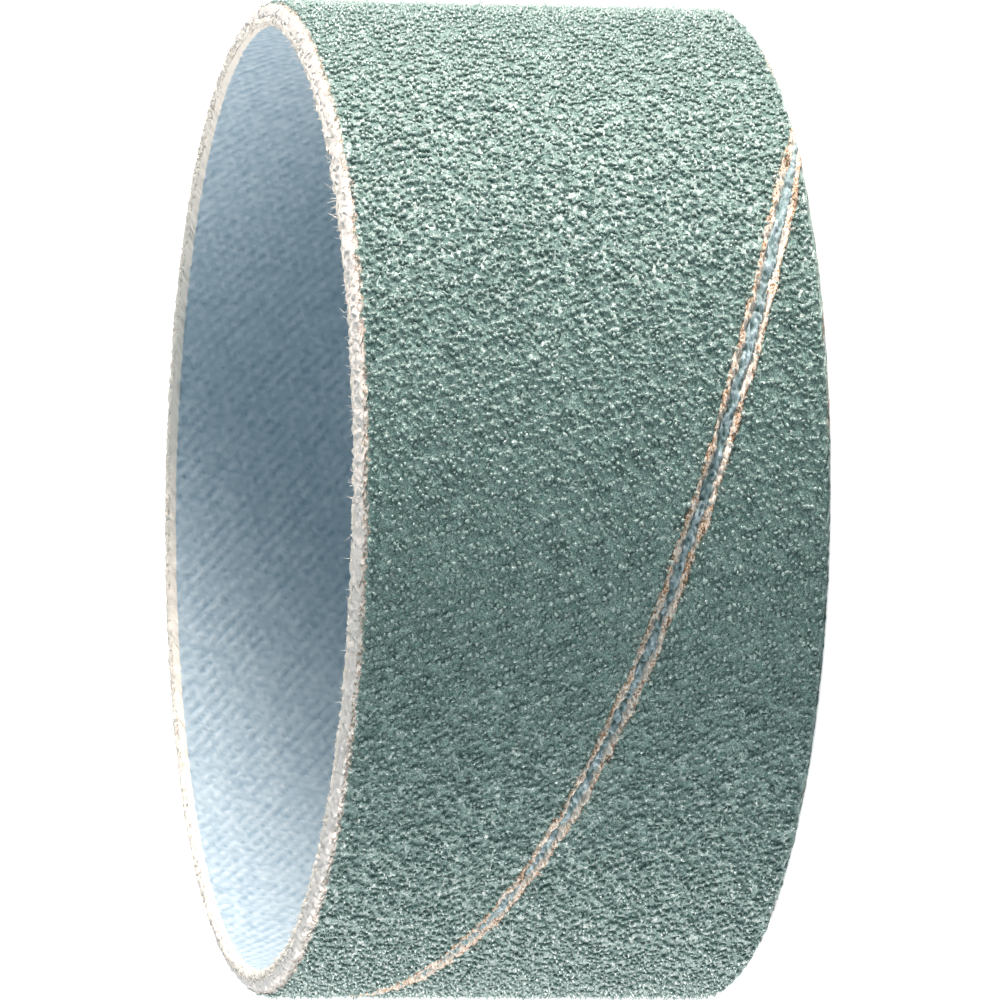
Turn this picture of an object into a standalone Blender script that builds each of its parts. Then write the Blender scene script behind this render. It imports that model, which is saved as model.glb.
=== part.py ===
"""A spiral-wound sanding sleeve, standing on one of its two cut ends.

Two strips are wound one over the other, at the same lead, into a short tube that slides over a
rubber drum. The inner one is a plain cloth liner. The outer one is abrasive cloth, grain side out.
Each strip's two long edges almost meet in a spiral seam. The seams lie nearly half a turn apart, so
each strip bridges the other's seam, and the liner shows at the bottom of the open outer seam.

Frame: metres, +Z up along the sleeve's axis, origin at the centre of the bottom end. A strip is made
flat, as it is cut: u runs round the sleeve, z along it, and w is the height above the strip's inner
face. It is then rolled up about Z.
"""

import math

import bmesh
import bpy

# Driving dimensions, in metres
BORE_DIAMETER = 0.051  # the drum that the sleeve slides over
SLEEVE_WIDTH = 0.025  # cut length of the tube
LINER_THICKNESS = 0.0005
GLUE_LINE = 0.0001  # between the liner and the abrasive cloth
CLOTH_THICKNESS = 0.0005  # of the abrasive strip's own backing
COAT_THICKNESS = 0.00035  # of the resin and grain on that backing
CHIPPED_EDGE = 0.00032  # how far the coat has broken back along each cut edge

# The winding
WINDING_LEAD = 0.0544  # how far a seam climbs in one turn
ABRASIVE_SEAM_FOOT = math.radians(-44.1)  # where the outer seam meets the bottom end, round from +X
ABRASIVE_GAP_BOTTOM = 0.00075  # width of the outer seam, square to it, at the bottom end
ABRASIVE_GAP_TOP = 0.00012  # and at the top end, where it has almost closed
LINER_SEAM_LAG = math.radians(163)  # how far round the liner's seam lies from the outer one
LINER_GAP = 0.0003  # width of the liner's seam, square to it

# A rolled strip bends at folds this far apart
FOLDS_PER_TURN = 120
FOLD_ANGLE = 2 * math.pi / FOLDS_PER_TURN
SHARP_EDGE = math.radians(30)

# Radii that follow from the sizes above
LINER_RADIUS = BORE_DIAMETER / 2
ABRASIVE_RADIUS = LINER_RADIUS + LINER_THICKNESS + GLUE_LINE

# Colours, linear
GRAIN_GREEN = (0.185, 0.275, 0.25, 1.0)
LINER_BLUE = (0.22, 0.32, 0.40, 1.0)


def clear_scene():
    """Empties the scene that Blender starts with."""
    for old in list(bpy.data.objects):
        bpy.data.objects.remove(old, do_unlink=True)


def new_material(name, colour, roughness):
    """A plain material of one colour."""
    material = bpy.data.materials.new(name)
    material.use_nodes = True
    shader = material.node_tree.nodes["Principled BSDF"]
    shader.inputs["Base Color"].default_value = colour
    shader.inputs["Roughness"].default_value = roughness
    shader.inputs["Metallic"].default_value = 0.0
    material.diffuse_color = colour
    return material


def seam_angle(foot, z):
    """Where round the sleeve a seam lies at height z. It climbs against the turn, as a left-hand helix."""
    return foot - 2 * math.pi * z / WINDING_LEAD


def half_gap_round(gap, radius):
    """Half the seam's width measured round the sleeve, from its width square to the seam."""
    helix_angle = math.atan(WINDING_LEAD / (2 * math.pi * radius))
    return gap / 2 / math.sin(helix_angle)


def flat_strip(radius, thickness, foot, gap_bottom, gap_top):
    """A cut strip laid flat: a slanting slab whose long sides are the seam's two edges.

    A unit cube's corners are carried to the slab's: x goes along the strip from one seam edge to
    the other, y across it from the bottom end to the top, and z through its thickness.
    """
    slab = bmesh.new()
    bmesh.ops.create_cube(slab, size=1.0)
    turn = 2 * math.pi * radius
    for corner in slab.verts:
        along, up, through = (part + 0.5 for part in corner.co)
        z = up * SLEEVE_WIDTH
        half_gap = half_gap_round(gap_bottom + up * (gap_top - gap_bottom), radius)
        start = radius * seam_angle(foot, z) + half_gap
        corner.co = (start + along * (turn - 2 * half_gap), z, through * thickness)
    return slab


def chip_upper_edges(slab, thickness, depth):
    """Bevels the four edges of the slab's upper face."""
    middle = thickness / 2
    upper = [edge for edge in slab.edges if all(end.co.z > middle for end in edge.verts)]
    bmesh.ops.bevel(
        slab, geom=upper, offset=depth, offset_type="OFFSET", segments=1, profile=0.5, affect="EDGES"
    )


def roll_up(slab, radius):
    """Slices the slab where it is to bend, then wraps it round Z with its lower face at the radius."""
    fold = FOLD_ANGLE * radius
    reach = [corner.co.x for corner in slab.verts]
    for step in range(math.floor(min(reach) / fold) + 1, math.ceil(max(reach) / fold)):
        everything = slab.verts[:] + slab.edges[:] + slab.faces[:]
        bmesh.ops.bisect_plane(
            slab, geom=everything, dist=1e-7, plane_co=(step * fold, 0, 0), plane_no=(1, 0, 0)
        )
    for corner in slab.verts:
        u, z, w = corner.co
        angle = u / radius
        corner.co = ((radius + w) * math.cos(angle), (radius + w) * math.sin(angle), z)
    bmesh.ops.recalc_face_normals(slab, faces=slab.faces[:])


def add_strip(name, slab, material, sleeve):
    """Makes the rolled slab an object of the sleeve."""
    mesh = bpy.data.meshes.new(name)
    slab.to_mesh(mesh)
    slab.free()
    mesh.materials.append(material)
    mesh.shade_smooth()
    mesh.set_sharp_from_angle(angle=SHARP_EDGE)
    strip = bpy.data.objects.new(name, mesh)
    sleeve.objects.link(strip)
    return strip


def add_liner_strip(sleeve):
    """The inner strip: dyed cotton twill, cut square at its edges."""
    foot = ABRASIVE_SEAM_FOOT + LINER_SEAM_LAG
    slab = flat_strip(LINER_RADIUS, LINER_THICKNESS, foot, LINER_GAP, LINER_GAP)
    roll_up(slab, LINER_RADIUS)
    return add_strip("liner_strip", slab, new_material("dyed_cotton_twill", LINER_BLUE, 0.9), sleeve)


def add_abrasive_strip(sleeve):
    """The outer strip: cotton backing with green silicon carbide grain, chipped along its cut edges."""
    thickness = CLOTH_THICKNESS + COAT_THICKNESS
    slab = flat_strip(
        ABRASIVE_RADIUS, thickness, ABRASIVE_SEAM_FOOT, ABRASIVE_GAP_BOTTOM, ABRASIVE_GAP_TOP
    )
    chip_upper_edges(slab, thickness, CHIPPED_EDGE)
    roll_up(slab, ABRASIVE_RADIUS)
    return add_strip("abrasive_strip", slab, new_material("silicon_carbide_grain", GRAIN_GREEN, 0.7), sleeve)


def main():
    """Builds the sleeve in a collection of its own."""
    clear_scene()
    sleeve = bpy.data.collections.new("sanding_sleeve")
    bpy.context.scene.collection.children.link(sleeve)
    add_liner_strip(sleeve)
    add_abrasive_strip(sleeve)


main()
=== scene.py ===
"""The looks of a spiral-wound sanding sleeve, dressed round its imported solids.

The sleeve is two strips of cotton cloth wound one over the other. The outer strip carries a coat of
resin and green silicon carbide grain. The inner one is a dyed twill liner. Each strip is one closed
mesh: a fine relief on the side that shows, a rounded cut edge all round it, and a plain back.

Frame: metres, +Z up along the sleeve's axis. Angles go round from +X, anticlockwise from above.
"""

import logging
import math
from collections.abc import Callable
from dataclasses import dataclass, field
from enum import Enum
from functools import partial

import bpy
import numpy as np
from bpy.types import Material, Node, NodeSocket, NodeTree, Object
from mathutils import Matrix, Vector


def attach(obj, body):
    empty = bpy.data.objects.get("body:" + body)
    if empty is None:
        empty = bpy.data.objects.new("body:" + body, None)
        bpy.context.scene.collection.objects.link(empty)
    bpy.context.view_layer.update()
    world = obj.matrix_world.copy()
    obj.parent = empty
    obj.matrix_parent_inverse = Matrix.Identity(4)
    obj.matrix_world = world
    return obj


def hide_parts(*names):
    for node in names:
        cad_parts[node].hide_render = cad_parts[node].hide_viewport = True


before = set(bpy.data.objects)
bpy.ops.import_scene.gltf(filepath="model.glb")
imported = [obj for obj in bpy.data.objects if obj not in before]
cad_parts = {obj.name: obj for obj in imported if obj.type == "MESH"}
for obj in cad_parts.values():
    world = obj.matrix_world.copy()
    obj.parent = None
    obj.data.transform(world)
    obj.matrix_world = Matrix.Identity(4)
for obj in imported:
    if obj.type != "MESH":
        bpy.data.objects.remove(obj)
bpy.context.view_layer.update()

log = logging.getLogger("sanding_sleeve")

MM = 0.001
TURN = 2 * math.pi

# Sizes that repeat the solids' own
SLEEVE_WIDTH = 25.0 * MM
WINDING_LEAD = 54.4 * MM
SEAM_FOOT = math.radians(-44.1)
LINER_SEAM_LAG = math.radians(163.0)

# What lies no further than this from an end's plane is part of the cut end
ON_END = 0.01 * MM

Array = np.ndarray
Pair = tuple[Array, Array]
Place = Callable[[np.random.Generator, int], Pair]
Range = tuple[float, float]


class Side(Enum):
    """Which side of a wound strip faces out of the wall and carries the relief."""

    OUTSIDE = 1
    INSIDE = -1


def linear(hex_colour: str) -> tuple[float, float, float, float]:
    """Turns an sRGB hex colour, six digits after a hash sign, into a shader's linear colour."""
    parts = [int(hex_colour[i : i + 2], 16) / 255 for i in (1, 3, 5)]
    red, green, blue = (p / 12.92 if p <= 0.04045 else ((p + 0.055) / 1.055) ** 2.4 for p in parts)
    return red, green, blue, 1.0


def add_node(
    tree: NodeTree, kind: str, values: dict | None = None, links: dict | None = None, **settings
) -> Node:
    """Adds one node with its settings, its constant sockets and the links into it.

    Args:
        tree: the node tree that it joins.
        kind: Blender's node type.
        values: socket name or number to constant value.
        links: socket name or number to the output socket that feeds it.
        settings: the node's own properties.

    Returns:
        The new node.
    """
    made = tree.nodes.new(kind)
    for name, value in settings.items():
        setattr(made, name, value)
    for socket, value in (values or {}).items():
        made.inputs[socket].default_value = value
    for socket, source in (links or {}).items():
        tree.links.new(source, made.inputs[socket])
    return made


def empty_tree(owner: Material | bpy.types.World) -> NodeTree:
    """Turns a material's or a world's nodes on, and takes out those that it starts with."""
    owner.use_nodes = True
    owner.node_tree.nodes.clear()
    return owner.node_tree


def on_cylinder(radius: Array | float, theta: Array, z: Array) -> Array:
    """Turns radii, angles and heights into points, three numbers each."""
    return np.stack([radius * np.cos(theta), radius * np.sin(theta), z], -1)


def directions(theta: Array) -> Pair:
    """The unit vectors out of the sleeve and round it, at some angles."""
    level = np.zeros(len(theta))
    return on_cylinder(1.0, theta, level), np.stack([-np.sin(theta), np.cos(theta), level], -1)


def triangles(*corners: tuple[Array, Array, Array]) -> Array:
    """Lists triangles, three vertex numbers a row, from the arrays of their corners."""
    return np.concatenate([np.stack(three, -1).reshape(-1, 3) for three in corners])


def unit(vectors: Array) -> Array:
    """Scales each row to a length of one."""
    return vectors / np.linalg.norm(vectors, axis=1, keepdims=True)


@dataclass
class NoiseMap:
    """Smooth random values over the unrolled sleeve, without a break where it closes.

    White noise on a raster is blurred by multiplying its Fourier transform by a Gaussian of the
    wave numbers, stretched along one direction, and is scaled to a standard deviation of one. It
    is read off the raster by bilinear interpolation. Spare rows keep the top end's noise apart from
    the bottom end's, because the blur goes round from the last row to the first.
    """

    radius: float
    length_along: float
    length_across: float
    slope: float
    seed: int
    raster: Array = field(init=False)
    cell: float = 0.1 * MM
    spare_rows: int = 60

    def __post_init__(self) -> None:
        """Fills the raster."""
        around = TURN * self.radius
        columns = int(round(around / self.cell))
        rows = int(round(SLEEVE_WIDTH / self.cell)) + self.spare_rows
        white = np.random.default_rng(self.seed).standard_normal((rows, columns))
        wave_u = np.fft.fftfreq(columns, d=around / columns)[None, :]
        wave_z = np.fft.fftfreq(rows, d=self.cell)[:, None]
        along = wave_u * math.cos(self.slope) + wave_z * math.sin(self.slope)
        across = -wave_u * math.sin(self.slope) + wave_z * math.cos(self.slope)
        gauss = np.exp(-2 * ((along * self.length_along) ** 2 + (across * self.length_across) ** 2))
        smooth = np.fft.ifft2(np.fft.fft2(white) * gauss).real
        self.raster = (smooth - smooth.mean()) / smooth.std()

    def at(self, theta: Array, z: Array) -> Array:
        """The noise at some angles round the sleeve and heights."""
        rows, columns = self.raster.shape
        x = np.mod(theta / TURN, 1.0) * columns
        y = np.clip(z / self.cell, 0, rows - 2)
        x0, y0 = np.floor(x).astype(int) % columns, np.floor(y).astype(int)
        fx, fy = x - np.floor(x), y - np.floor(y)
        x1 = (x0 + 1) % columns
        low = self.raster[y0, x0] * (1 - fx) + self.raster[y0, x1] * fx
        high = self.raster[y0 + 1, x0] * (1 - fx) + self.raster[y0 + 1, x1] * fx
        return low * (1 - fy) + high * fy


@dataclass
class EdgeLoop:
    """One loop of vertices round a strip, between its relief and its back.

    Fraction is how far it lies from the relief's border, at 0, to the cut edge, at 1, and hollow is
    how much of that way chance may take back. Rise is how far it stands out of the top end, where
    the cut cotton blooms. Cut tells the finish what shows: 0 is the relief's own surface, 1 the
    cloth where the coat has chipped off, and 2 the cut threads.
    """

    fraction: float
    radius: float
    radius_noise: float
    cut: float
    hollow: float = 0.0
    rise: float = 0.0


@dataclass
class WoundStrip:
    """A strip of cloth wound once round the sleeve, with a fine relief on one side.

    The relief is a lattice of rows at constant height. Each row runs from one seam edge to the
    other, and each next row starts a whole number of columns further back, because the seam leans.
    The row above is joined column to column, with a small fan of triangles at either seam edge.

    Shift is that number of columns, and jitter the share of its spacing that a vertex may move.
    Wander is how far a slit edge strays, in waves whose lengths are in millimetres. Pinch is the
    share by which the gap closes at its bottom, and bloom the chance in how far cut cotton rises.
    """

    name: str
    node: str
    slot: str
    side: Side
    relief_radius: float
    foot: float
    gap_bottom: float
    gap_top: float
    inset_end: float
    inset_seam: float
    loops: list[EdgeLoop]
    seed: int
    columns: int = 745
    shift: int = 3
    jitter: float = 0.28
    sharp_angle: float = math.radians(45)
    wander: float = 0.0
    wander_waves: tuple[float, ...] = (0.83, 1.37, 2.9)
    wander_phases: Range = (1.0, 2.3)
    pinch: float = 0.0
    pinch_height: float = 0.5 * MM
    bloom: Range = (0.6, 1.2)
    border_cut: float = 0.33

    @property
    def rows(self) -> int:
        """How many rows keep the seam's lean at a whole number of columns a row."""
        return int(round(SLEEVE_WIDTH * (self.columns - 1) / (self.shift * WINDING_LEAD))) + 1

    @property
    def lean(self) -> float:
        """The seam's angle from the end's plane."""
        return math.atan(WINDING_LEAD / (TURN * self.relief_radius))

    def seam_edges(self, z: Array, inset: float) -> Pair:
        """The angles of the two seam edges at some heights, each moved into the strip by an inset.

        The seam's centre falls back by one turn for each lead that it climbs. Half the gap's width
        and the inset, both square to the seam, are divided by the sine of its lean to go round.
        Each edge wanders by a sum of three sines of the height, since the strip was slit by hand.
        """
        gap = self.gap_bottom + (self.gap_top - self.gap_bottom) * z / SLEEVE_WIDTH
        gap = gap * (1 - self.pinch * np.exp(-z / self.pinch_height))
        centre = self.foot - TURN * z / WINDING_LEAD
        waves = [
            sum(np.sin(TURN * z / (length * MM) + length * phase) for length in self.wander_waves)
            for phase in self.wander_phases
        ]
        start, end = (
            (gap / 2 + inset + self.wander * wave) / math.sin(self.lean) / self.relief_radius
            for wave in waves
        )
        return centre + start, centre + TURN - end

    def lattice(self, inset_end: float = 0.0, inset_seam: float = 0.0) -> Pair:
        """Angles and heights of a lattice that ends some way in from the strip's cut edges."""
        z = np.linspace(inset_end, SLEEVE_WIDTH - inset_end, self.rows)
        start, end = self.seam_edges(z, inset_seam)
        share = np.linspace(0, 1, self.columns)[None, :]
        theta = start[:, None] + share * (end - start)[:, None]
        return theta, np.repeat(z[:, None], self.columns, axis=1)

    def shaken(self, theta: Array, z: Array) -> Pair:
        """Moves each inner vertex a random share of its spacing, so that no rows show."""
        rng = np.random.default_rng(self.seed)
        inner = np.zeros_like(theta)
        inner[1:-1, 1:-1] = 1
        step_theta = (theta[0, -1] - theta[0, 0]) / (self.columns - 1)
        step_z = z[1, 0] - z[0, 0]
        reach = self.jitter * inner
        theta = theta + reach * step_theta * rng.uniform(-1, 1, theta.shape)
        return theta, z + reach * step_z * rng.uniform(-1, 1, z.shape)

    def noise(self, size: float, salt: int, theta: Array, z: Array) -> Array:
        """Noise with lumps of one size; the salt sets it apart from the strip's other noises."""
        return NoiseMap(self.relief_radius, size, size, 0.0, self.seed + salt).at(theta, z)

    def relief(self, theta: Array, z: Array) -> Array:
        """How far each vertex stands out of the relief's radius, towards the side it faces."""
        raise NotImplementedError

    def ragged(self, theta: Array, z: Array) -> Pair:
        """Moves the relief's border in and out, so that it is not a straight line."""
        return theta, z

    def wear(self, theta: Array, z: Array, at_start: Array) -> Array:
        """How bare the cut edge is, from 0 to 1; at_start marks the places on the start edge."""
        return np.ones_like(z)

    def perimeter(self) -> Array:
        """Numbers of the relief's border vertices, anticlockwise from outside the sleeve."""
        last_row, last_column = self.rows - 1, self.columns - 1
        bottom = np.arange(last_column)
        end = np.arange(last_row) * self.columns + last_column
        top = last_row * self.columns + np.arange(last_column, 0, -1)
        start = np.arange(last_row, 0, -1) * self.columns
        return np.concatenate([bottom, end, top, start])

    def relief_faces(self, rough: Array) -> Array:
        """Triangles of the relief.

        Args:
            rough: one random number a cell; its sign picks the cell's diagonal.

        Returns:
            Vertex numbers, three a row, anticlockwise from outside.
        """
        n, k = self.columns, self.shift
        j = np.arange(self.rows - 1)[:, None]
        i = np.arange(n - 1 - k)[None, :]
        a, b = j * n + i, j * n + i + 1
        d, c = (j + 1) * n + i + k, (j + 1) * n + i + k + 1
        first = rough[: self.rows - 1, : n - 1 - k] > 0
        one = np.where(first[..., None], np.stack([a, b, c], -1), np.stack([a, b, d], -1))
        two = np.where(first[..., None], np.stack([a, c, d], -1), np.stack([b, c, d], -1))
        fan = np.arange(k)[None, :]
        left = np.stack([j * n + 0 * fan, (j + 1) * n + fan + 1, (j + 1) * n + fan], -1)
        right_row = j * n + n - 1 - k + fan
        right = np.stack([right_row, right_row + 1, (j + 2) * n - 1 + 0 * fan], -1)
        return np.concatenate([part.reshape(-1, 3) for part in (one, two, left, right)])

    def back_faces(self, ring: Array, theta: Array) -> Array:
        """Closes the back with triangles that run straight up the sleeve.

        The last loop is split at its first and last angle into a lower and an upper chain, which
        are joined like a zip: each next vertex to the one that the other chain has reached.

        Args:
            ring: vertex numbers of the last loop, in the perimeter's order.
            theta: their angles.

        Returns:
            Vertex numbers, three a row, clockwise from outside.
        """
        corner_low = self.columns - 1
        corner_high = 2 * corner_low + self.rows - 1
        lower = np.concatenate([np.arange(corner_high, len(ring)), np.arange(corner_low + 1)])
        upper = np.arange(corner_low, corner_high + 1)[::-1]
        t_low, t_up = theta[lower], theta[upper]
        reach_up = np.searchsorted(t_up[1:], t_low[1:], side="left")
        reach_low = np.searchsorted(t_low[1:], t_up[1:], side="right")
        faces = triangles(
            (lower[:-1], upper[reach_up], lower[1:]), (upper[:-1], upper[1:], lower[reach_low])
        )
        a, b, c = faces.T
        return ring[faces[(a != b) & (b != c) & (a != c)]]

    def build(self) -> Object:
        """Makes the strip's mesh and its object.

        Returns:
            The object, with a height attribute over the relief and a cut attribute at its edge.
        """
        rng = np.random.default_rng(self.seed + 1)
        theta, z = self.ragged(*self.shaken(*self.lattice(self.inset_end, self.inset_seam)))
        height = self.relief(theta, z)
        radius = self.relief_radius + self.side.value * height
        faces = [self.relief_faces(rng.standard_normal(theta.shape))]
        ring = border = self.perimeter()
        count, total = len(border), theta.size
        edge_theta, edge_z = (part.ravel()[border] for part in self.lattice())
        inner_theta, inner_z = theta.ravel()[border], z.ravel()[border]
        on_top = edge_z > SLEEVE_WIDTH - ON_END
        bare = self.wear(edge_theta, edge_z, np.arange(count) > count - self.rows)
        thetas, zs, radii = [theta.ravel()], [z.ravel()], [radius.ravel()]
        cuts, heights = [np.zeros(total)], [height.ravel()]
        cuts[0][border] = self.border_cut * bare
        for loop in self.loops:
            reach = loop.fraction - loop.hollow * rng.uniform(0, 1, count)
            rise = on_top * loop.rise * rng.uniform(*self.bloom, count)
            thetas.append(inner_theta + (edge_theta - inner_theta) * reach)
            zs.append(inner_z + (edge_z - inner_z) * reach + rise)
            radii.append(loop.radius + loop.radius_noise * rng.standard_normal(count))
            cuts.append(loop.cut * bare)
            heights.append(np.zeros(count))
            new = total + np.arange(count)
            total += count
            here, there = np.roll(ring, -1), np.roll(new, -1)
            faces.append(triangles((ring, new, here), (here, new, there)))
            ring = new
        faces.append(self.back_faces(ring, thetas[-1]))
        points = on_cylinder(*(np.concatenate(parts) for parts in (radii, thetas, zs)))
        corners = np.concatenate(faces)
        if self.side is Side.INSIDE:
            corners = corners[:, ::-1]
        made = mesh_object(self.name, points, corners)
        set_attribute(made, "height", np.concatenate(heights) / MM)
        set_attribute(made, "cut", np.concatenate(cuts))
        made.data.shade_smooth()
        made.data.set_sharp_from_angle(angle=self.sharp_angle)
        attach(made, "root")
        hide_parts(self.node)
        return made


def mesh_object(name: str, points: Array, corners: Array) -> Object:
    """Puts vertices and triangles, one a row, into a new object of the scene."""
    mesh = bpy.data.meshes.new(name)
    mesh.vertices.add(len(points))
    mesh.vertices.foreach_set("co", points.astype(np.float32).ravel())
    mesh.loops.add(corners.size)
    mesh.loops.foreach_set("vertex_index", corners.astype(np.int32).ravel())
    mesh.polygons.add(len(corners))
    mesh.polygons.foreach_set("loop_start", np.arange(0, corners.size, 3, dtype=np.int32))
    mesh.update(calc_edges=True)
    mesh.validate()
    made = bpy.data.objects.new(name, mesh)
    bpy.context.scene.collection.objects.link(made)
    return made


def set_attribute(piece: Object, name: str, values: Array) -> None:
    """Stores one number a vertex under a name that materials can read."""
    attribute = piece.data.attributes.new(name, "FLOAT", "POINT")
    attribute.data.foreach_set("value", values.astype(np.float32))


@dataclass
class GritCloth(WoundStrip):
    """The outer strip: grain in resin, chipped back from its edges, on raw cotton.

    Peaks, hollows, clumps and how far the bed is sunk are shares of the lump height. Knock is where
    a blow has broken the coat back at the top end.
    """

    lump_height: float = 0.115 * MM
    peaks: Range = (0.35, 1.0)
    hollows: Range = (0.0, 0.55)
    clump_size: float = 0.25 * MM
    clump_share: float = 0.22
    sunk: float = 1.9
    twill_height: float = 0.036 * MM
    twill_spacing: float = 0.62 * MM
    twill_slope: float = math.radians(-70)
    chip_size: float = 0.18 * MM
    chip_depth: float = 0.08 * MM
    chip_columns: int = 6
    knock: float = math.radians(307.0)
    knock_width: float = 0.05
    knock_depth: float = 0.28 * MM
    covered_from_mm: float = 14.5
    covered_over_mm: float = 4.0
    patch_size: float = 2.0 * MM

    def relief(self, theta: Array, z: Array) -> Array:
        """The bed of resin and small grain that the larger grains stand in.

        Its lumps stand on every second vertex, as tall as chance has it. Added to them are clumps
        a few grains wide, and the faint ribs of the cloth below.
        """
        rng = np.random.default_rng(self.seed + 2)
        j, i = np.ogrid[: self.rows, : self.columns]
        peak = ((i - self.shift * j + j) % 2).astype(float)
        tall = peak * rng.uniform(*self.peaks, theta.shape)
        tall = tall + (1 - peak) * rng.uniform(*self.hollows, theta.shape)
        clumps = self.noise(self.clump_size, 3, theta, z)
        height = self.lump_height * (tall + self.clump_share * clumps) + self.ribs(theta, z)
        return height - self.sunk * self.lump_height

    def ribs(self, theta: Array, z: Array) -> Array:
        """The height of the cloth's ribs under the coat, a cosine of the distance across them."""
        round_part = theta * self.relief_radius * math.sin(self.twill_slope)
        across = z * math.cos(self.twill_slope) - round_part
        return self.twill_height * np.cos(TURN * across / self.twill_spacing)

    def wear(self, theta: Array, z: Array, at_start: Array) -> Array:
        """Bare all along, but for two places that resin has covered.

        These are the start edge's top part, and the bottom end but for a patch here and there.
        """
        covered = np.clip((z / MM - self.covered_from_mm) / self.covered_over_mm, 0, 1)
        bottom = 0.14 + 0.2 * np.clip(self.noise(self.patch_size, 6, theta, z) - 0.6, 0, 1)
        return np.where(z < ON_END, bottom, np.where(at_start, 1 - 0.72 * covered, 1.0))

    def ragged(self, theta: Array, z: Array) -> Pair:
        """Chips the coat's border in and out by a tenth of a millimetre or so.

        At the seam the columns next to the border move too, less and less.
        """
        chips = self.noise(self.chip_size, 5, theta, z)
        theta, z = theta.copy(), z.copy()
        from_knock = (np.mod(theta[-1], TURN) - self.knock) / self.knock_width
        z[0] += self.chip_depth * chips[0]
        z[-1] -= self.chip_depth * chips[-1] + self.knock_depth * np.exp(-(from_knock**2))
        reach = self.chip_columns
        fade = 1 - np.arange(reach) / reach
        round_by = self.chip_depth / math.sin(self.lean) / self.relief_radius
        theta[1:-1, :reach] += round_by * chips[1:-1, :1] * fade
        theta[1:-1, -reach:] -= round_by * chips[1:-1, -1:] * fade[::-1]
        return theta, z


@dataclass
class GrainCoat:
    """The larger grains of the coat, as one mesh of small crystals sunk in the bed of resin.

    A crystal is an octahedron whose six corners are moved by chance, turned by chance about the
    wall's normal. The crystals stand on the sites of a six-sided lattice, shaken by chance, and the
    two kinds of grain take every second site each.
    """

    name: str
    bed: GritCloth
    first: int
    sharp: bool
    half_width: Range
    half_height: Range
    centre_radius: float
    seed: int
    spacing: float = 0.335 * MM
    border: float = 0.26 * MM
    shake: float = 0.4
    corner_shake: float = 0.22
    worn_width: float = 0.55 * MM
    worn_most: float = 0.5
    worn_range: Range = (0.3, 1.2)

    def sites(self, rng: np.random.Generator) -> Pair:
        """Angles and heights of the crystals."""
        across = self.spacing * math.sqrt(3) / 2
        rows = int((SLEEVE_WIDTH - 2 * self.border) / across)
        columns = int(TURN * self.centre_radius / self.spacing)
        j, i = np.meshgrid(np.arange(rows), np.arange(columns), indexing="ij")
        wanted = (i + j) % 2 == self.first
        j, i = j[wanted], i[wanted]
        z = self.border + (j + 0.5 + rng.uniform(-self.shake, self.shake, j.shape)) * across
        start, end = self.bed.seam_edges(z, self.border)
        column = i + 0.5 * (j % 2) + 0.25
        share = (column + rng.uniform(-self.shake, self.shake, i.shape)) / columns
        return start + np.clip(share, 0, 1) * (end - start), z

    def build(self) -> Object:
        """Makes the crystals' mesh and its object.

        Returns:
            The object, with the attributes height, in millimetres over the coat's radius, and cut,
            which is how worn the grain is, most of all close to a cut edge.
        """
        rng = np.random.default_rng(self.seed)
        theta, z = self.sites(rng)
        count = len(theta)
        half = [[1, 0, 0], [0, 1, 0], [-1, 0, 0], [0, -1, 0], [0, 0, 1], [0, 0, -1]]
        shape = np.array(half, float)[None] + self.corner_shake * rng.standard_normal((count, 6, 3))
        wide = rng.uniform(*self.half_width, (count, 1, 2)) * np.ones((1, 6, 1))
        low, high = self.half_height
        tall = (low + (high - low) * rng.uniform(0, 1, (count, 1, 1)) ** 2) * np.ones((1, 6, 1))
        shape = shape * np.concatenate([wide, tall], -1)
        turn = rng.uniform(0, TURN, (count, 1))
        x = shape[..., 0] * np.cos(turn) - shape[..., 1] * np.sin(turn)
        y = shape[..., 0] * np.sin(turn) + shape[..., 1] * np.cos(turn)
        out, round_about = (way[:, None] for way in directions(theta))
        radius = self.centre_radius + self.bed.ribs(theta, z)
        points = out * radius[:, None, None] + round_about * x[..., None] + out * shape[..., 2:]
        points[..., 2] += z[:, None] + y
        upper = np.array([[0, 1, 4], [1, 2, 4], [2, 3, 4], [3, 0, 4]])
        lower = np.array([[1, 0, 5], [2, 1, 5], [3, 2, 5], [0, 3, 5]])
        corners = np.concatenate([upper, lower])[None] + 6 * np.arange(count)[:, None, None]
        made = mesh_object(self.name, points.reshape(-1, 3), corners.reshape(-1, 3))
        height = np.linalg.norm(points[..., :2], axis=-1) - self.bed.relief_radius
        set_attribute(made, "height", height.ravel() / MM)
        start, end = self.bed.seam_edges(z, 0.0)
        to_seam = np.minimum(theta - start, end - theta) * self.centre_radius
        to_edge = np.minimum(to_seam * math.sin(self.bed.lean), SLEEVE_WIDTH - z)
        worn = self.worn_most * np.exp(-((to_edge / self.worn_width) ** 2))
        worn = worn * rng.uniform(*self.worn_range, count)
        set_attribute(made, "cut", np.repeat(worn, 6))
        if not self.sharp:
            made.data.shade_smooth()
        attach(made, "root")
        return made


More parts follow.
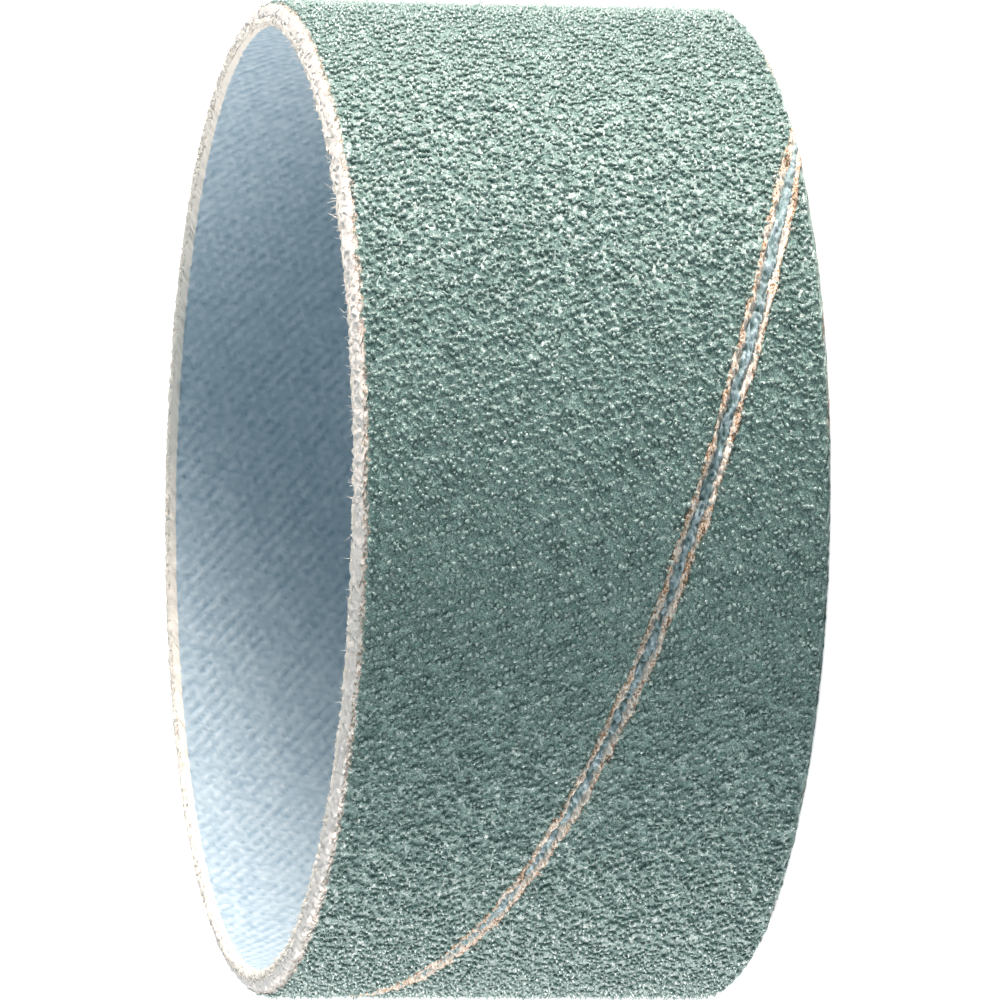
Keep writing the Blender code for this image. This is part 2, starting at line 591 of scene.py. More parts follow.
@dataclass
class LinerTwill(WoundStrip):
    """The inner strip: dyed twill, with its ribs on the bore."""

    rib_height: float = 0.03 * MM
    cells_across: int = 4
    cells_along: int = 2
    blur_size: float = 0.8 * MM
    wool_long: float = 0.26 * MM
    wool_wide: float = 0.22 * MM
    wool_slope: float = math.radians(45.6)

    def relief(self, theta: Array, z: Array) -> Array:
        """Ribs run along one diagonal of the lattice, and each is broken into floats.

        The height is a cosine of the cell number across the diagonal, stronger here and weaker
        there, plus a cosine of the cell number along it, so each thread's float is a bump. Slack
        threads and wool are added.
        """
        j, i = np.ogrid[: self.rows, : self.columns]
        column = i - self.shift * j
        across, along = column - j, column + j
        rib = np.cos(TURN * across / self.cells_across)
        half_step = np.pi * (across // self.cells_across)
        beads = np.cos(TURN * along / (2 * self.cells_along) + half_step)
        slack = 0.1 * np.random.default_rng(self.seed + 2).standard_normal(theta.shape)
        wool = NoiseMap(
            self.relief_radius, self.wool_long, self.wool_wide, self.wool_slope, self.seed + 3
        )
        strength = 0.5 + 0.2 * self.noise(self.blur_size, 4, theta, z)
        return self.rib_height * (strength * rib + 0.3 * beads + slack + 0.45 * wool.at(theta, z))


@dataclass
class SeamBar:
    """A long low bar that follows the outer seam: glue at its bottom, or torn cloth beside it.

    Along the seam and across it run the two parameters of its upper side. Its height there is a
    profile across the bar plus fine and soft noise, and its lower side is level.
    """

    name: str
    bed: GritCloth
    slot: str
    span: Callable[[Array], Pair]
    profile: list[float]
    cut: Range
    floor_radius: float
    lump: float
    lump_size: float
    seed: int
    knots: tuple[float, ...] = ()
    knot_width: float = 0.16 * MM
    swell_size: float = 0.5 * MM
    waver_size: float = 0.16 * MM
    end_margin: float = 0.06 * MM
    thinnest: float = 0.03 * MM
    fine_cell: float = 0.05 * MM
    along: int = 1500
    across: int = 9

    def build(self) -> Object:
        """Makes the bar's mesh and its object.

        Returns:
            The object, with the attributes height, in millimetres over the profile, and cut, which
            runs from one end of the bar's range to the other across it, less at a knot.
        """
        z = np.linspace(self.end_margin, SLEEVE_WIDTH - self.end_margin, self.along)
        low, high = self.span(z)
        low, high = np.minimum(low, high), np.maximum(low, high)
        share = np.linspace(0, 1, self.across)[None, :]
        theta = low[:, None] + (high - low)[:, None] * share
        z = np.repeat(z[:, None], self.across, axis=1)
        middle = sum(self.profile) / len(self.profile)
        lumps, swells, waver = (
            NoiseMap(middle, size, size, 0.0, self.seed + salt, cell=cell).at(theta, z)
            for salt, size, cell in (
                (0, self.lump_size, self.fine_cell), (1, self.swell_size, 0.1 * MM),
                (2, self.waver_size, self.fine_cell),
            )
        )
        waver = waver + 0.8 * swells
        knotted = sum(
            (np.exp(-(((z - at) / self.knot_width) ** 2)) for at in self.knots), np.zeros_like(z)
        )
        height = self.lump * (0.8 * lumps + 0.5 * swells + 1.6 * knotted)
        last = len(self.profile) - 1
        place = np.clip(share + 0.16 * waver, 0, 1) * last
        base = np.interp(place, np.arange(last + 1), self.profile)
        top = np.maximum(base + height, self.floor_radius + self.thinnest)
        radius = np.stack([top, np.full_like(top, self.floor_radius)])
        points = on_cylinder(radius, np.stack([theta, theta]), np.stack([z, z])).reshape(-1, 3)
        n, count = self.across, z.size
        sheet = np.arange(count).reshape(self.along, n)
        a = sheet[:-1, :-1].ravel()
        upper = triangles((a, a + 1, a + n + 1), (a, a + n + 1, a + n))
        ring = np.concatenate([sheet[0, :-1], sheet[:-1, -1], sheet[-1, :0:-1], sheet[:0:-1, 0]])
        ahead = np.roll(ring, -1)
        walls = triangles((ring, ring + count, ahead), (ahead, ring + count, ahead + count))
        corners = np.concatenate([upper, upper[:, ::-1] + count, walls])
        made = mesh_object(self.name, points, corners)
        bare = self.cut[0] + (self.cut[1] - self.cut[0]) * (share + 0.2 * waver) - 1.3 * knotted
        set_attribute(made, "height", np.tile(height.ravel(), 2) / MM)
        set_attribute(made, "cut", np.tile(bare.ravel(), 2))
        made.data.shade_smooth()
        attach(made, "root")
        return made


@dataclass(frozen=True)
class Fray:
    """Where a tuft of cut cotton fibres grows, and how long and lively its fibres are."""

    count: int
    place: Place
    radius: Range
    length: float
    up: float
    out: float
    thickness: float = 0.016 * MM


@dataclass
class CottonFray:
    """Loose cotton fibres along a cut edge, as one mesh of tapered three-sided fibres.

    Stray is the chance in a fibre's first direction, out of the sleeve and round it. Curl is how
    much it turns at a joint, and taper how much of its thickness it loses.
    """

    name: str
    seed: int
    tufts: list[Fray]
    joints: int = 4
    stray: Range = (0.5, 0.8)
    curl: float = 0.45
    taper: float = 0.75
    floor: float = 0.005 * MM

    def fibres(self, tuft: Fray, rng: np.random.Generator) -> Pair:
        """Makes one tuft's fibres.

        A fibre starts on the cut end and goes on by equal steps. Its direction starts as the end's
        outward one plus chance, and turns by a little more chance at each joint.

        Args:
            tuft: the fibres' place and liveliness.
            rng: the source of chance.

        Returns:
            Points and triangles.
        """
        count, steps = tuft.count, self.joints + 1
        theta, z = tuft.place(rng, count)
        radius = rng.uniform(*tuft.radius, count)
        outward, round_about = directions(theta)
        axis = np.array([0.0, 0.0, 1.0])
        lean_out = tuft.out + self.stray[0] * rng.standard_normal((count, 1))
        heading = tuft.up * axis + outward * lean_out
        heading = heading + round_about * self.stray[1] * rng.standard_normal((count, 1))
        path = [outward * radius[:, None] + z[:, None] * axis]
        length = tuft.length * rng.gamma(2.0, 0.5, (count, 1)) / self.joints
        for _ in range(self.joints):
            heading = heading + self.curl * rng.standard_normal((count, 3))
            path.append(path[-1] + unit(heading) * length)
        side = rng.standard_normal((count, 3))
        side -= (side * heading).sum(1, keepdims=True) * heading / (heading**2).sum(1, keepdims=True)
        side = unit(side)
        other = np.cross(unit(heading), side)
        thickness = tuft.thickness * (1 - self.taper * np.arange(steps) / self.joints)
        turns = TURN * np.arange(3) / 3
        ring = side[:, None] * np.cos(turns)[:, None] + other[:, None] * np.sin(turns)[:, None]
        points = np.stack(path, 1)[:, :, None] + ring[:, None] * thickness[None, :, None, None]
        points[..., 2] = np.maximum(points[..., 2], self.floor)
        s, q = np.ogrid[: self.joints, :3]
        a, b = s * 3 + q, s * 3 + (q + 1) % 3
        tip = 3 * self.joints
        wall = triangles((a, b, b + 3), (a, b + 3, a + 3))
        one = np.concatenate([wall, [[0, 2, 1], [tip, tip + 1, tip + 2]]])
        corners = one[None] + (np.arange(count) * steps * 3)[:, None, None]
        return points.reshape(-1, 3), corners.reshape(-1, 3)

    def build(self) -> Object:
        """Makes all the tufts one piece."""
        rng = np.random.default_rng(self.seed)
        points, corners, total = [], [], 0
        for tuft in self.tufts:
            some_points, some_corners = self.fibres(tuft, rng)
            points.append(some_points)
            corners.append(some_corners + total)
            total += len(some_points)
        made = mesh_object(self.name, np.concatenate(points), np.concatenate(corners))
        made.data.shade_smooth()
        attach(made, "root")
        return made


class Recipe:
    """A new material, and the few kinds of node that the finishes are made of.

    A piece's own coordinates, in metres, place every pattern, so a pattern's scale is one over the
    size of its lumps.
    """

    def __init__(self, name: str) -> None:
        """Starts the material."""
        self.material = bpy.data.materials.new(name)
        self.material.use_nodes = True
        self.tree = self.material.node_tree
        self.shader = self.tree.nodes["Principled BSDF"]
        self.place = add_node(self.tree, "ShaderNodeTexCoord").outputs["Object"]

    def ramp(self, factor: NodeSocket, *stops: tuple[float, str]) -> NodeSocket:
        """Goes through some stops, each a position and an sRGB hex colour, in order."""
        made = add_node(self.tree, "ShaderNodeValToRGB", links={"Fac": factor})
        elements = made.color_ramp.elements
        while len(elements) < len(stops):
            elements.new(0.5)
        for element, (position, colour) in zip(elements, stops):
            element.position, element.color = position, linear(colour)
        return made.outputs["Color"]

    def attribute(self, name: str) -> NodeSocket:
        """Reads a number that the piece's vertices carry."""
        return add_node(self.tree, "ShaderNodeAttribute", attribute_name=name).outputs["Fac"]

    def noise(self, size: float, detail: float = 2.0, roughness: float = 0.5) -> NodeSocket:
        """Makes noise with lumps of one size, in metres."""
        values = {"Scale": 1 / size, "Detail": detail, "Roughness": roughness}
        links = {"Vector": self.place}
        return add_node(self.tree, "ShaderNodeTexNoise", values, links).outputs["Fac"]

    def spread(
        self, value: NodeSocket, low: float, high: float, to_low: float = 0.0, to_high: float = 1.0
    ) -> NodeSocket:
        """Carries the range from low to high to another one, and holds the value at its ends."""
        values = {"From Min": low, "From Max": high, "To Min": to_low, "To Max": to_high}
        return add_node(self.tree, "ShaderNodeMapRange", values, {"Value": value}).outputs[0]

    def total(self, one: NodeSocket, other: NodeSocket) -> NodeSocket:
        """Adds two numbers."""
        links = {0: one, 1: other}
        return add_node(self.tree, "ShaderNodeMath", links=links, operation="ADD").outputs[0]

    def blend(self, share: NodeSocket, one: NodeSocket, other: NodeSocket | str) -> NodeSocket:
        """Goes from one colour to another, which may be a constant sRGB hex colour."""
        values = {"B": linear(other)} if isinstance(other, str) else {}
        links = {"Factor": share, "A": one} | ({} if values else {"B": other})
        return add_node(self.tree, "ShaderNodeMix", values, links, data_type="RGBA").outputs["Result"]

    def bump(self, height: NodeSocket, depth: float) -> NodeSocket:
        """Shades a fine relief of a depth in metres."""
        values = {"Strength": 1.0, "Distance": depth}
        return add_node(self.tree, "ShaderNodeBump", values, {"Height": height}).outputs[0]

    def vector(self, operation: str, links: dict, values: dict | None = None) -> NodeSocket:
        """Does one sum with vectors."""
        kind = "ShaderNodeVectorMath"
        return add_node(self.tree, kind, values, links, operation=operation).outputs[0]

    def finish(
        self, colour: NodeSocket, normal: NodeSocket | None, constants: dict[str, float]
    ) -> Material:
        """Joins the patterns to the shader, sets its constant sockets and hands out the material."""
        self.tree.links.new(colour, self.shader.inputs["Base Color"])
        if normal:
            self.tree.links.new(normal, self.shader.inputs["Normal"])
        for socket, value in constants.items():
            self.shader.inputs[socket].default_value = value
        return self.material


@dataclass(frozen=True)
class GritFinish:
    """Silicon carbide grain in a coat of resin, on cotton cloth cut with a knife.

    The grain was dropped on wet resin and sized over with more of it, so it is a matt grey green
    with small glints. By height its colour is painted darker in the pits, as shade, and paler on
    the tips, partly as worn grain and partly as a highlight. Where it has broken off, the brown
    resin shows.
    """

    name: str = "silicon_carbide_in_resin"
    # Painted shade: the colour of the coat's lowest pits, where the relief's height is least
    shaded_pit: str = "#21453e"
    body: str = "#567d74"
    # Pale tips by height: partly worn grain, partly a painted highlight on the highest points
    tip: str = "#a6bab2"
    crust: str = "#5f7a72"
    scorch: str = "#6b5a48"
    resin: str = "#b98a62"
    soiled: str = "#bfb5a8"
    fluff: str = "#cbc6bd"
    cotton: str = "#d2cdc6"
    thread: str = "#c9c3bb"
    lit_thread: str = "#d1cdc6"
    facet: float = 0.2 * MM
    facet_tilt: float = 0.62
    crumb: float = 0.08 * MM
    crumb_depth: float = 0.02 * MM
    patch: float = 1.1 * MM
    patch_depth: float = 0.11
    blotch: float = 0.2 * MM
    roughness: float = 0.42
    ior: float = 1.7
    dust: float = 0.4

    def coat(self, recipe: Recipe, crumbs: NodeSocket) -> NodeSocket:
        """The coat's colour: painted shade in its pits, pale tips, uneven in crumbs and patches."""
        # The height attribute paints shade into the pits and, partly with wear, a highlight on the
        # tips
        relief = recipe.spread(recipe.attribute("height"), -0.12, 0.08, -0.06, 0.40)
        fine = recipe.total(relief, recipe.spread(crumbs, 0.3, 0.7, 0.0, 0.86))
        patches = recipe.noise(self.patch, roughness=0.6)
        patches = recipe.spread(patches, 0.3, 0.7, -self.patch_depth, self.patch_depth)
        level = recipe.total(fine, patches)
        return recipe.ramp(level, (0.0, self.shaded_pit), (0.42, self.body), (1.0, self.tip))

    def border(self, recipe: Recipe, cut: NodeSocket) -> NodeSocket:
        """The cut edge's colour: crusts of coat and resin on cotton, then the threads alone."""
        blotches = recipe.noise(self.blotch, 3.0, 0.65)
        left_over = recipe.total(blotches, recipe.spread(cut, 0.4, 1.6, -0.13, 0.04))
        bare = recipe.ramp(
            left_over, (0.33, self.crust), (0.37, self.scorch), (0.4, self.resin),
            (0.43, self.soiled), (0.5, self.fluff), (0.62, self.cotton),
        )
        threads = recipe.ramp(
            blotches, (0.3, self.soiled), (0.42, self.thread), (0.7, self.lit_thread)
        )
        return recipe.blend(recipe.spread(cut, 1.2, 1.8), bare, threads)

    def facets(self, recipe: Recipe, crumbs: NodeSocket) -> NodeSocket:
        """The normal: crumbs as a bump, and each facet of grain leant its own way by chance."""
        cells = add_node(
            recipe.tree, "ShaderNodeTexVoronoi", {"Scale": 1 / self.facet, "Randomness": 1.0},
            {"Vector": recipe.place},
        )
        centred = recipe.vector("SUBTRACT", {0: cells.outputs["Color"]}, {1: (0.5, 0.5, 0.5)})
        tilt = recipe.vector("SCALE", {0: centred}, {"Scale": self.facet_tilt})
        leant = recipe.vector("ADD", {0: recipe.bump(crumbs, self.crumb_depth), 1: tilt})
        return recipe.vector("NORMALIZE", {0: leant})

    def material(self) -> Material:
        """Makes the material."""
        recipe = Recipe(self.name)
        crumbs, cut = recipe.noise(self.crumb, 1.0), recipe.attribute("cut")
        chipped = recipe.spread(cut, 0.2, 0.45)
        colour = recipe.blend(chipped, self.coat(recipe, crumbs), self.border(recipe, cut))
        return recipe.finish(colour, self.facets(recipe, crumbs), {
            "Roughness": self.roughness, "IOR": self.ior, "Sheen Weight": self.dust,
            "Sheen Roughness": 0.5,
        })


@dataclass(frozen=True)
class TwillFinish:
    """Dyed cotton twill, which is matt and pale grey blue.

    By height it is painted darker in the valleys, as shade, and lighter on each float, as a
    highlight. The dye has not reached the cut border, which is cream. Loose wool on it takes all
    gloss.
    """

    name: str = "dyed_cotton_twill"
    # Painted shade: the colour in the weave's valleys
    shaded_valley: str = "#849aa7"
    # Painted highlight: the colour on the floats
    lit_float: str = "#b0bfc6"
    cotton: str = "#d5cfc4"
    fuzz: float = 0.12 * MM
    fuzz_depth: float = 0.02 * MM

    def material(self) -> Material:
        """Makes the material."""
        recipe = Recipe(self.name)
        # By the relief's height: painted shade in the valleys, a painted highlight on the floats
        level = recipe.spread(recipe.attribute("height"), -0.035, 0.035)
        dyed = recipe.ramp(level, (0.0, self.shaded_valley), (1.0, self.lit_float))
        colour = recipe.blend(recipe.spread(recipe.attribute("cut"), 0.4, 1.2), dyed, self.cotton)
        return recipe.finish(colour, recipe.bump(recipe.noise(self.fuzz), self.fuzz_depth), {
            "Roughness": 0.95, "Specular IOR Level": 0.25, "Sheen Weight": 0.05,
            "Sheen Roughness": 0.5,
        })


@dataclass(frozen=True)
class GlueFinish:
    """Dried glue with lint and grain dust in it: blue grey, uneven, with a faint gloss.

    By height it is painted darker in its hollows, as shade, and paler on its crests, as a highlight.
    """

    name: str = "dried_glue"
    # Painted shade: the glue's colour in its lowest hollows
    hollow: str = "#5a7370"
    body: str = "#7f9899"
    # Painted highlight: the glue's colour on its highest crests
    lit_crest: str = "#a6b8bd"
    lint: float = 0.16 * MM
    lint_depth: float = 0.03 * MM

    def material(self) -> Material:
        """Makes the material."""
        recipe = Recipe(self.name)
        lint = recipe.noise(self.lint)
        # By height: painted shade in the hollows and a painted highlight on the crests, with lint
        # noise over them
        level = recipe.total(recipe.spread(recipe.attribute("height"), -0.12, 0.12, -0.2, 0.3), lint)
        colour = recipe.ramp(level, (0.25, self.hollow), (0.5, self.body), (0.8, self.lit_crest))
        bump = recipe.bump(lint, self.lint_depth)
        return recipe.finish(colour, bump, {"Roughness": 0.6, "IOR": 1.45})


@dataclass(frozen=True)
class TornFinish:
    """Cotton cloth torn where it was slit: cream threads, with resin stains from orange to brown.

    The stains thicken towards the coat, where crumbs of it are left, and the threads are bare
    towards the gap.
    """

    name: str = "slit_cotton_and_resin"
    crumb: str = "#4f6f66"
    brown: str = "#775842"
    orange: str = "#b98f69"
    pink: str = "#d6c9b8"
    cotton: str = "#dfdad0"
    stain: float = 0.13 * MM
    stain_depth: float = 0.03 * MM

    def material(self) -> Material:
        """Makes the material."""
        recipe = Recipe(self.name)
        stains = recipe.noise(self.stain, 3.0, 0.6)
        level = recipe.total(stains, recipe.spread(recipe.attribute("cut"), 0.0, 1.0, -0.11, 0.12))
        colour = recipe.ramp(
            level, (0.25, self.crumb), (0.31, self.brown), (0.38, self.orange), (0.45, self.pink),
            (0.54, self.cotton),
        )
        return recipe.finish(colour, recipe.bump(stains, self.stain_depth), {
            "Roughness": 0.8, "Specular IOR Level": 0.3,
        })


@dataclass(frozen=True)
class CottonFinish:
    """Raw cotton fibre, off-white and matt, a little browner here and there."""

    name: str = "raw_cotton_fibre"
    stained: str = "#cfc2b3"
    clean: str = "#d4d0c8"
    stain: float = 0.8 * MM

    def material(self) -> Material:
        """Makes the material."""
        recipe = Recipe(self.name)
        colour = recipe.ramp(recipe.noise(self.stain), (0.35, self.stained), (0.5, self.clean))
        return recipe.finish(colour, None, {"Roughness": 0.9, "Specular IOR Level": 0.2})


@dataclass(frozen=True)
class Lamp:
    """A square area lamp that faces the sleeve."""

    name: str
    azimuth: float
    elevation: float
    distance: float
    size: float
    power: float
    colour: str = "#ffffff"

    def build(self) -> None:
        """Adds the lamp. Its azimuth is counted from -Y towards +X."""
        a, e = math.radians(self.azimuth), math.radians(self.elevation)
        back = Vector((math.sin(a) * math.cos(e), -math.cos(a) * math.cos(e), math.sin(e)))
        data = bpy.data.lights.new(self.name, "AREA")
        data.shape = "SQUARE"
        data.size = self.size
        data.energy = self.power
        data.color = linear(self.colour)[:3]
        lamp = bpy.data.objects.new(self.name, data)
        lamp.location = back * self.distance + Vector((0, 0, SLEEVE_WIDTH / 2))
        lamp.rotation_mode = "QUATERNION"
        lamp.rotation_quaternion = back.to_track_quat("Z", "Y")
        bpy.context.scene.collection.objects.link(lamp)


@dataclass(frozen=True)
class Studio:
    """The pale floor, the light and the camera, whose lens and place fit the sleeve's two rims."""

    floor_half: float = 3.0
    floor_grey: str = "#e8e8e8"
    floor_lift: float = 0.55
    world_strength: float = 0.26
    world_tint: str = "#c0eaff"
    lens: float = 379.06
    place: tuple[float, float, float] = (0.0, -0.55806, 0.13649)
    right: tuple[float, float, float] = (0.01207, -0.21817, -0.97584)
    forward: tuple[float, float, float] = (0.00012, 0.97591, -0.21818)

    def floor(self) -> None:
        """Lays a plain white floor, which the camera sees as white outside the shadow."""
        h = self.floor_half
        points = np.array([[-h, -h, 0], [h, -h, 0], [h, h, 0], [-h, h, 0]], dtype=float)
        made = mesh_object("studio_floor", points, np.array([[0, 1, 2], [0, 2, 3]]))
        material = bpy.data.materials.new("studio_white")
        tree = empty_tree(material)
        path = add_node(tree, "ShaderNodeLightPath").outputs
        seen = add_node(
            tree, "ShaderNodeMath", links={0: path["Is Camera Ray"], 1: path["Is Glossy Ray"]},
            operation="ADD", use_clamp=True,
        )
        lift = add_node(
            tree, "ShaderNodeMath", {1: self.floor_lift}, {0: seen.outputs[0]}, operation="MULTIPLY"
        )
        matt = add_node(tree, "ShaderNodeBsdfDiffuse", {"Color": linear(self.floor_grey)})
        glow = add_node(
            tree, "ShaderNodeEmission", {"Color": linear("#ffffff")}, {"Strength": lift.outputs[0]}
        )
        both = add_node(tree, "ShaderNodeAddShader", links={0: matt.outputs[0], 1: glow.outputs[0]})
        add_node(tree, "ShaderNodeOutputMaterial", links={"Surface": both.outputs[0]})
        made.data.materials.append(material)

    def world(self) -> None:
        """Fills the studio with even light, and shows it as white."""
        world = bpy.data.worlds.new("studio_light")
        bpy.context.scene.world = world
        tree = empty_tree(world)
        seen = {"Factor": add_node(tree, "ShaderNodeLightPath").outputs["Is Camera Ray"]}
        strength = add_node(
            tree, "ShaderNodeMix", {"A": self.world_strength, "B": 1.0}, seen, data_type="FLOAT"
        )
        tints = {"A": linear(self.world_tint), "B": linear("#ffffff")}
        tint = add_node(tree, "ShaderNodeMix", tints, seen, data_type="RGBA").outputs["Result"]
        links = {"Color": tint, "Strength": strength.outputs[0]}
        background = add_node(tree, "ShaderNodeBackground", links=links)
        add_node(tree, "ShaderNodeOutputWorld", links={"Surface": background.outputs[0]})

    def camera(self) -> None:
        """Places the camera, turned a quarter turn on its own axis so that the sleeve lies down."""
        data = bpy.data.cameras.new("camera")
        data.lens = self.lens
        data.sensor_width = 36.0
        data.clip_start, data.clip_end = 0.05, 20.0
        made = bpy.data.objects.new("camera", data)
        right, forward = Vector(self.right).normalized(), Vector(self.forward).normalized()
        up = right.cross(forward).normalized()
        turned = Matrix((right, up, -forward)).transposed().to_4x4()
        made.matrix_world = Matrix.Translation(self.place) @ turned
        bpy.context.scene.collection.objects.link(made)
        bpy.context.scene.camera = made

    def build(self) -> None:
        """Sets up the whole studio."""
        self.floor()
        self.world()
        self.camera()
        for lamp in (
            Lamp("key", 88, 8, 1.2, 0.3, 19.0, "#fff2ec"),
            Lamp("high_key", 72, 12, 1.2, 0.4, 17.0, "#fff4ef"),
            Lamp("mouth", 15, 48, 1.2, 0.6, 2.3),
            Lamp("top", 0, 80, 1.2, 0.8, 1.2),
            Lamp("fill", -76, 26, 1.2, 1.0, 5.5, "#f0f8ff"),
            Lamp("low_fill", -106, 8, 1.2, 0.6, 23.0, "#fff4f0"),
        ):
            lamp.build()
        bpy.context.scene.view_settings.view_transform = "Standard"


def all_round(z: float) -> Place:
    """Places all round the sleeve at one height."""
    return lambda rng, count: (rng.uniform(0, TURN, count), np.full(count, z))


def near(angle: float, spread: float, z: float) -> Place:
    """Places close to one angle, as a normal distribution, at one height."""
    return lambda rng, count: (angle + spread * rng.standard_normal(count), np.full(count, z))


def seam_side(bed: WoundStrip, side: int, inset: float) -> Place:
    """Places along one of the seam's edges."""

    def place(rng: np.random.Generator, count: int) -> Pair:
        z = rng.uniform(0.2 * MM, SLEEVE_WIDTH - 0.1 * MM, count)
        return bed.seam_edges(z, inset)[side], z

    return place


def outer_strip() -> GritCloth:
    """The abrasive cloth. Four loops lead from the coat to the threads, and three down their cut."""
    return GritCloth(
        name="grit_cloth", node="abrasive_strip", slot="abrasive_cloth", side=Side.OUTSIDE,
        relief_radius=26.92 * MM, foot=SEAM_FOOT,
        gap_bottom=0.75 * MM, gap_top=0.12 * MM, inset_end=0.35 * MM, inset_seam=0.28 * MM,
        wander=0.035 * MM, pinch=0.95,
        loops=[
            EdgeLoop(0.20, 26.74 * MM, 0.04 * MM, 0.5, 0.15),
            EdgeLoop(0.42, 26.66 * MM, 0.05 * MM, 1.0, 0.15),
            EdgeLoop(0.70, 26.63 * MM, 0.05 * MM, 1.2, 0.15),
            EdgeLoop(0.97, 26.55 * MM, 0.05 * MM, 1.6, 0.15),
            EdgeLoop(1.0, 26.42 * MM, 0.03 * MM, 2.0, 0.25, 0.14 * MM),
            EdgeLoop(1.0, 26.22 * MM, 0.03 * MM, 2.0, 0.18, 0.24 * MM),
            EdgeLoop(1.0, 26.05 * MM, 0.0, 2.0, 0.1, 0.26 * MM),
        ],
        seed=11,
    )


def inner_strip() -> LinerTwill:
    """The liner. Two loops lead over its undyed border, and four down its cut."""
    return LinerTwill(
        name="liner_twill", node="liner_strip", slot="liner_cloth", side=Side.INSIDE,
        relief_radius=25.54 * MM, foot=SEAM_FOOT + LINER_SEAM_LAG,
        gap_bottom=0.3 * MM, gap_top=0.3 * MM, inset_end=0.30 * MM, inset_seam=0.06 * MM,
        loops=[
            EdgeLoop(0.35, 25.54 * MM, 0.02 * MM, 1.2, 0.3),
            EdgeLoop(0.9, 25.56 * MM, 0.02 * MM, 1.6, 0.2, 0.14 * MM),
            EdgeLoop(1.0, 25.64 * MM, 0.03 * MM, 2.0, 0.15, 0.30 * MM),
            EdgeLoop(1.0, 25.80 * MM, 0.03 * MM, 2.0, 0.15, 0.32 * MM),
            EdgeLoop(1.0, 25.95 * MM, 0.02 * MM, 2.0, 0.15, 0.29 * MM),
            EdgeLoop(1.0, 26.04 * MM, 0.0, 2.0, 0.1, 0.26 * MM),
        ],
        seed=31, jitter=0.08,
    )


def grain_coats(grit: GritCloth) -> list[GrainCoat]:
    """The larger grains: those with resin over them, and those that stand bare."""
    return [
        GrainCoat(
            name="sized_grains", bed=grit, first=0, sharp=False, half_width=(0.13 * MM, 0.19 * MM),
            half_height=(0.14 * MM, 0.30 * MM), centre_radius=26.79 * MM, seed=51,
        ),
        GrainCoat(
            name="sharp_grains", bed=grit, first=1, sharp=True, half_width=(0.11 * MM, 0.17 * MM),
            half_height=(0.11 * MM, 0.24 * MM), centre_radius=26.77 * MM, seed=53,
        ),
    ]


def seam_bars(grit: GritCloth) -> list[SeamBar]:
    """The glue at the bottom of the outer seam, and the torn cloth along its start and end edge.

    A bar's side is measured from the seam's edge into the strip, so a negative size is in the gap.
    """
    out, into, under = 0.30 * MM, -0.12 * MM, -0.06 * MM
    slope = [26.5 * MM, 26.66 * MM, 26.8 * MM, 26.86 * MM, 26.78 * MM]
    torn = partial(
        SeamBar, bed=grit, slot="abrasive_cloth", floor_radius=26.4 * MM, lump=0.05 * MM,
        lump_size=0.07 * MM,
    )
    return [
        SeamBar(
            name="seam_glue", bed=grit, slot="liner_cloth",
            span=lambda z: (grit.seam_edges(z, under)[1] - TURN, grit.seam_edges(z, under)[0]),
            profile=[26.68 * MM] * 3, cut=(0.0, 0.0), floor_radius=26.06 * MM, lump=0.09 * MM,
            lump_size=0.17 * MM, seed=61,
        ),
        torn(
            name="torn_start_edge",
            span=lambda z: (grit.seam_edges(z, into)[0], grit.seam_edges(z, out)[0]),
            profile=slope, cut=(1.0, 0.0), seed=64, knots=(0.8 * MM, 14.2 * MM),
        ),
        torn(
            name="torn_end_edge",
            span=lambda z: (grit.seam_edges(z, out)[1], grit.seam_edges(z, into)[1]),
            profile=slope[::-1], cut=(0.0, 1.0), seed=67,
            knots=(0.8 * MM, 5.0 * MM, 6.9 * MM, 7.7 * MM),
        ),
    ]


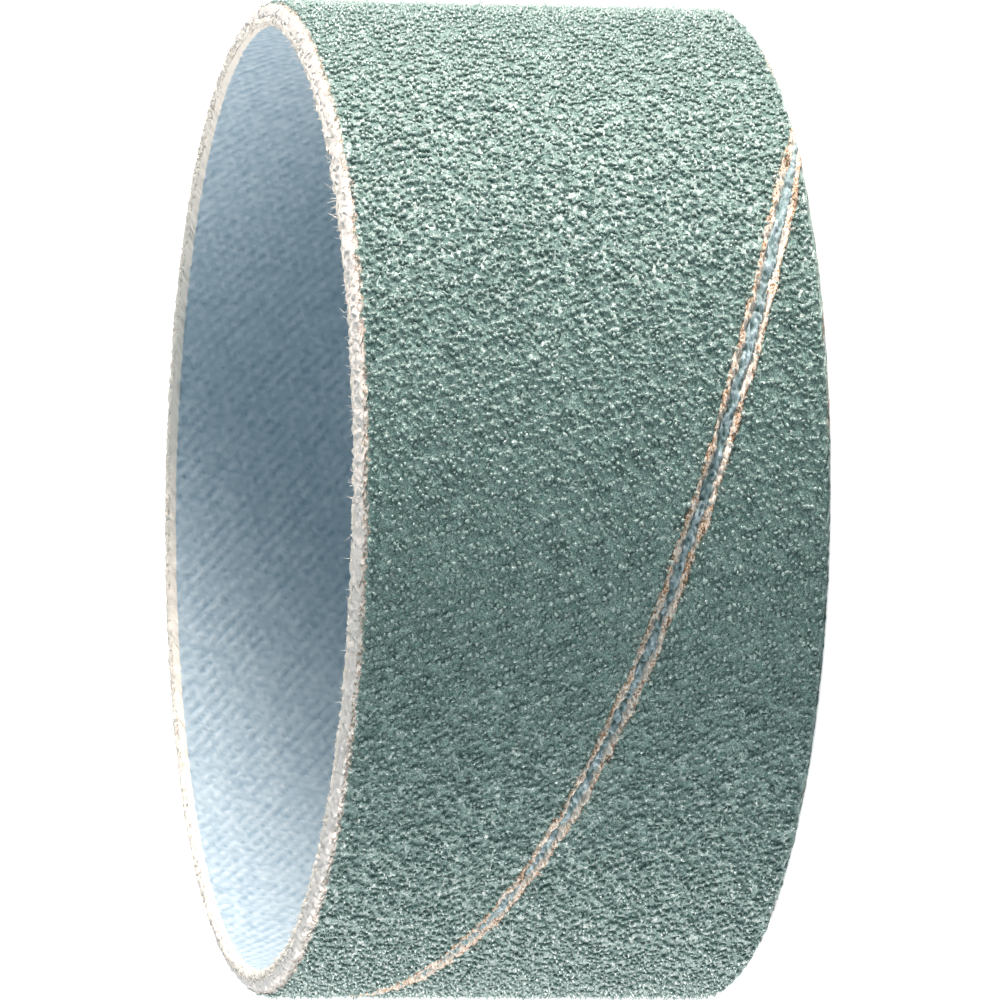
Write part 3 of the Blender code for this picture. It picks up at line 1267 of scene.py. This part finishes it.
def cotton_frays(grit: GritCloth) -> list[CottonFray]:
    """The loose fibres on the two cut ends and on the seam's edges.

    On the top end they are thickest over the liner, and two small tufts lean into the bore.
    """
    high = SLEEVE_WIDTH - 0.02 * MM
    wall, felt = (25.55 * MM, 26.5 * MM), (25.55 * MM, 25.95 * MM)
    bore_side, seam_wall = (25.5 * MM, 25.75 * MM), (26.45 * MM, 26.8 * MM)
    first = near(math.radians(-55.6), 0.01, high)
    second = near(math.radians(-52.8), 0.008, high)
    return [
        CottonFray("top_fray", 71, [
            Fray(2000, all_round(high), wall, 0.16 * MM, 1.0, 0.0, 0.022 * MM),
            Fray(5200, all_round(SLEEVE_WIDTH + 0.12 * MM), felt, 0.18 * MM, 1.0, -0.4, 0.022 * MM),
            Fray(14, first, bore_side, 0.32 * MM, 1.6, -1.2, 0.05 * MM),
            Fray(12, second, bore_side, 0.3 * MM, 1.6, -1.2, 0.045 * MM),
        ]),
        CottonFray("bottom_fray", 72, [
            Fray(1800, all_round(0.07 * MM), wall, 0.14 * MM, 0.0, 0.8),
        ]),
        CottonFray("seam_fray", 73, [
            Fray(2200, seam_side(grit, 1, 0.02 * MM), seam_wall, 0.16 * MM, 0.5, 0.5, 0.014 * MM),
            Fray(1400, seam_side(grit, 0, 0.02 * MM), seam_wall, 0.14 * MM, 0.5, 0.4, 0.012 * MM),
        ]),
    ]


def dress(piece: Object, material: Material) -> None:
    """Gives a piece its material, and logs its number of triangles."""
    piece.data.materials.append(material)
    log.info("%s: %d triangles", piece.name, len(piece.data.polygons))


def main() -> None:
    """Builds every piece in order."""
    logging.basicConfig(level=logging.INFO, format="%(message)s")
    grit = outer_strip()
    bare_grain = GritFinish().material()
    sized_grain = GritFinish(
        name="resin_sized_grain", facet_tilt=0.3, crumb_depth=0.012 * MM, roughness=0.27, ior=1.8,
    ).material()
    torn, cotton = TornFinish().material(), CottonFinish().material()
    dress(grit.build(), bare_grain)
    for grains, finish in zip(grain_coats(grit), (sized_grain, bare_grain)):
        dress(grains.build(), finish)
    dress(inner_strip().build(), TwillFinish().material())
    for bar, finish in zip(seam_bars(grit), (GlueFinish().material(), torn, torn)):
        dress(bar.build(), finish)
    for fray in cotton_frays(grit):
        dress(fray.build(), cotton)
    Studio().build()


if __name__ == "__main__":
    main()
